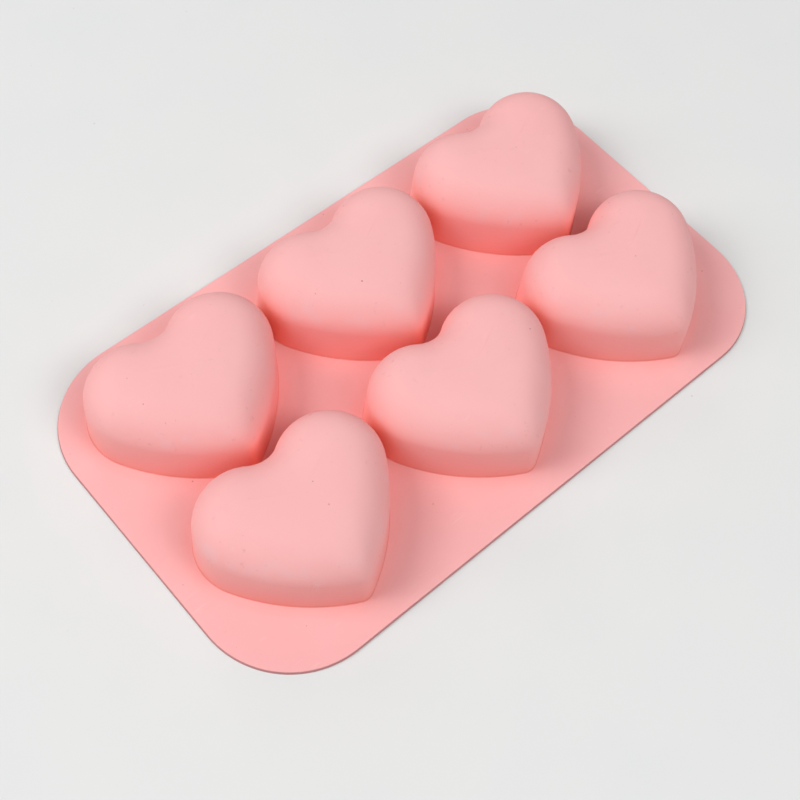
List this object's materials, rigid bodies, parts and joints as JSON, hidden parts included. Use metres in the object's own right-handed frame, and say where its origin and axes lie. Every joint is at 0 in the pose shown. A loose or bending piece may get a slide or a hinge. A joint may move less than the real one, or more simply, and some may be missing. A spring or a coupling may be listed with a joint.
{
  "type": "silicone soap mould",
  "caption": "Flexible tray of heart-shaped cavities for casting soap, modelled mouth down, with crowns that press in and a sheet that bends between columns.",
  "frame": {"origin": "centre of the object's footprint, on the underside of the sheet, which is the mouth side", "axes": "+X along the columns of hearts, +Y from the tips to the lobes, +Z out of the crowns, away from the mouths"},
  "size_m": [0.265, 0.155, 0.034],
  "materials": {
    "pink_silicone": "matte"
  },
  "bodies": {
    "middle_column": {"sheet_middle": "pink_silicone", "flex_web_left": "pink_silicone", "flex_web_right": "pink_silicone", "heart_wall_front_middle": "pink_silicone", "heart_wall_back_middle": "pink_silicone"},
    "left_column": {"sheet_left": "pink_silicone", "heart_wall_front_left": "pink_silicone", "heart_wall_back_left": "pink_silicone"},
    "right_column": {"sheet_right": "pink_silicone", "heart_wall_front_right": "pink_silicone", "heart_wall_back_right": "pink_silicone"},
    "crown_front_left": {"heart_crown_front_left": "pink_silicone"},
    "crown_front_middle": {"heart_crown_front_middle": "pink_silicone"},
    "crown_front_right": {"heart_crown_front_right": "pink_silicone"},
    "crown_back_left": {"heart_crown_back_left": "pink_silicone"},
    "crown_back_middle": {"heart_crown_back_middle": "pink_silicone"},
    "crown_back_right": {"heart_crown_back_right": "pink_silicone"}
  },
  "joints": [
    {"name": "left_flex", "type": "hinge", "parent": "middle_column", "child": "left_column", "pos_m": [-0.04027, 0, 0.00075], "axis": [0, 1, 0], "range_deg": [0, 10], "stiffness_Nm_per_rad": 0.02, "deforming": ["flex_web_left"]},
    {"name": "right_flex", "type": "hinge", "parent": "middle_column", "child": "right_column", "pos_m": [0.04027, 0, 0.00075], "axis": [0, -1, 0], "range_deg": [0, 10], "stiffness_Nm_per_rad": 0.02, "deforming": ["flex_web_right"]},
    {"name": "press_front_left", "type": "slide", "parent": "left_column", "child": "crown_front_left", "axis": [0, 0, -1], "range_m": [0, 0.01], "stiffness_N_per_m": 800},
    {"name": "press_front_middle", "type": "slide", "parent": "middle_column", "child": "crown_front_middle", "axis": [0, 0, -1], "range_m": [0, 0.01], "stiffness_N_per_m": 800},
    {"name": "press_front_right", "type": "slide", "parent": "right_column", "child": "crown_front_right", "axis": [0, 0, -1], "range_m": [0, 0.01], "stiffness_N_per_m": 800},
    {"name": "press_back_left", "type": "slide", "parent": "left_column", "child": "crown_back_left", "axis": [0, 0, -1], "range_m": [0, 0.01], "stiffness_N_per_m": 800},
    {"name": "press_back_middle", "type": "slide", "parent": "middle_column", "child": "crown_back_middle", "axis": [0, 0, -1], "range_m": [0, 0.01], "stiffness_N_per_m": 800},
    {"name": "press_back_right", "type": "slide", "parent": "right_column", "child": "crown_back_right", "axis": [0, 0, -1], "range_m": [0, 0.01], "stiffness_N_per_m": 800}
  ]
}
